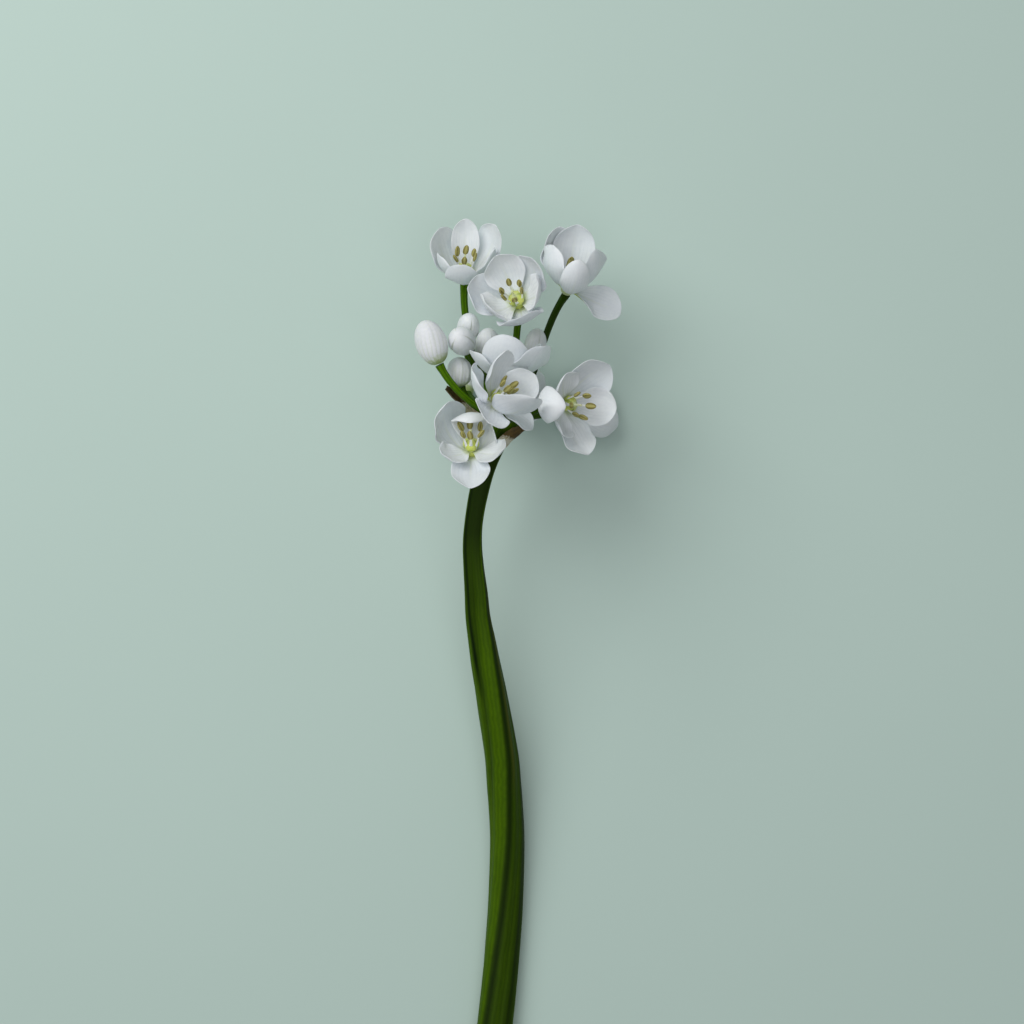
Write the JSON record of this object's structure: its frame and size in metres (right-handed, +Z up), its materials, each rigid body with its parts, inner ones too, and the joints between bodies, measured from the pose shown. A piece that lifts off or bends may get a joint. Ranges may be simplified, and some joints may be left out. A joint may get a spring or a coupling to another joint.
{
  "type": "cut allium flower",
  "caption": "Cut allium stem lying down, with a loose umbel of open white cup flowers and closed buds on green stalks, and a papery spathe.",
  "frame": {"origin": "on the surface the flower lies on, under the middle of its whole length and width", "axes": "+Y along the stem from the cut end to the flowers, +X to the right seen from above, +Z up from the surface"},
  "size_m": [0.0417, 0.1992, 0.0506],
  "materials": {
    "scape_green": "smooth, slightly waxy, with faint ribs",
    "stalk_green": "smooth, slightly waxy",
    "tepal_white": "satin petal with fine lengthwise veins",
    "heart_olive": "matt anthers and ovary",
    "bud_white": "satin, with grooved seams",
    "spathe_tan": "dry papery membrane"
  },
  "bodies": {
    "root": {"scape": "scape_green", "spathe_left": "spathe_tan", "spathe_right": "spathe_tan", "stalk_upper_left": "stalk_green", "tepals_upper_left": "tepal_white", "heart_upper_left": "heart_olive", "stalk_centre": "stalk_green", "tepals_centre": "tepal_white", "heart_centre": "heart_olive", "stalk_upper_right": "stalk_green", "tepals_upper_right": "tepal_white", "heart_upper_right": "heart_olive", "stalk_front": "stalk_green", "tepals_front": "tepal_white", "heart_front": "heart_olive", "stalk_right": "stalk_green", "tepals_right": "tepal_white", "heart_right": "heart_olive", "stalk_lower_left": "stalk_green", "tepals_lower_left": "tepal_white", "heart_lower_left": "heart_olive", "stalk_upper_middle": "stalk_green", "tepals_upper_middle": "tepal_white", "heart_upper_middle": "heart_olive", "stalk_back_middle": "stalk_green", "tepals_back_middle": "tepal_white", "heart_back_middle": "heart_olive", "stalk_back_right": "stalk_green", "tepals_back_right": "tepal_white", "heart_back_right": "heart_olive", "bud_stalk_left": "stalk_green", "bud_left": "bud_white", "bud_stalk_inner_left": "stalk_green", "bud_inner_left": "bud_white", "bud_stalk_high_left": "stalk_green", "bud_high_left": "bud_white", "bud_stalk_low_left": "stalk_green", "bud_low_left": "bud_white", "bud_stalk_inner_middle": "stalk_green", "bud_inner_middle": "bud_white", "bud_stalk_inner_right": "stalk_green", "bud_inner_right": "bud_white", "bud_stalk_inner_back": "stalk_green", "bud_inner_back": "bud_white", "bud_stalk_low_back": "stalk_green", "bud_low_back": "bud_white"}
  },
  "joints": []
}
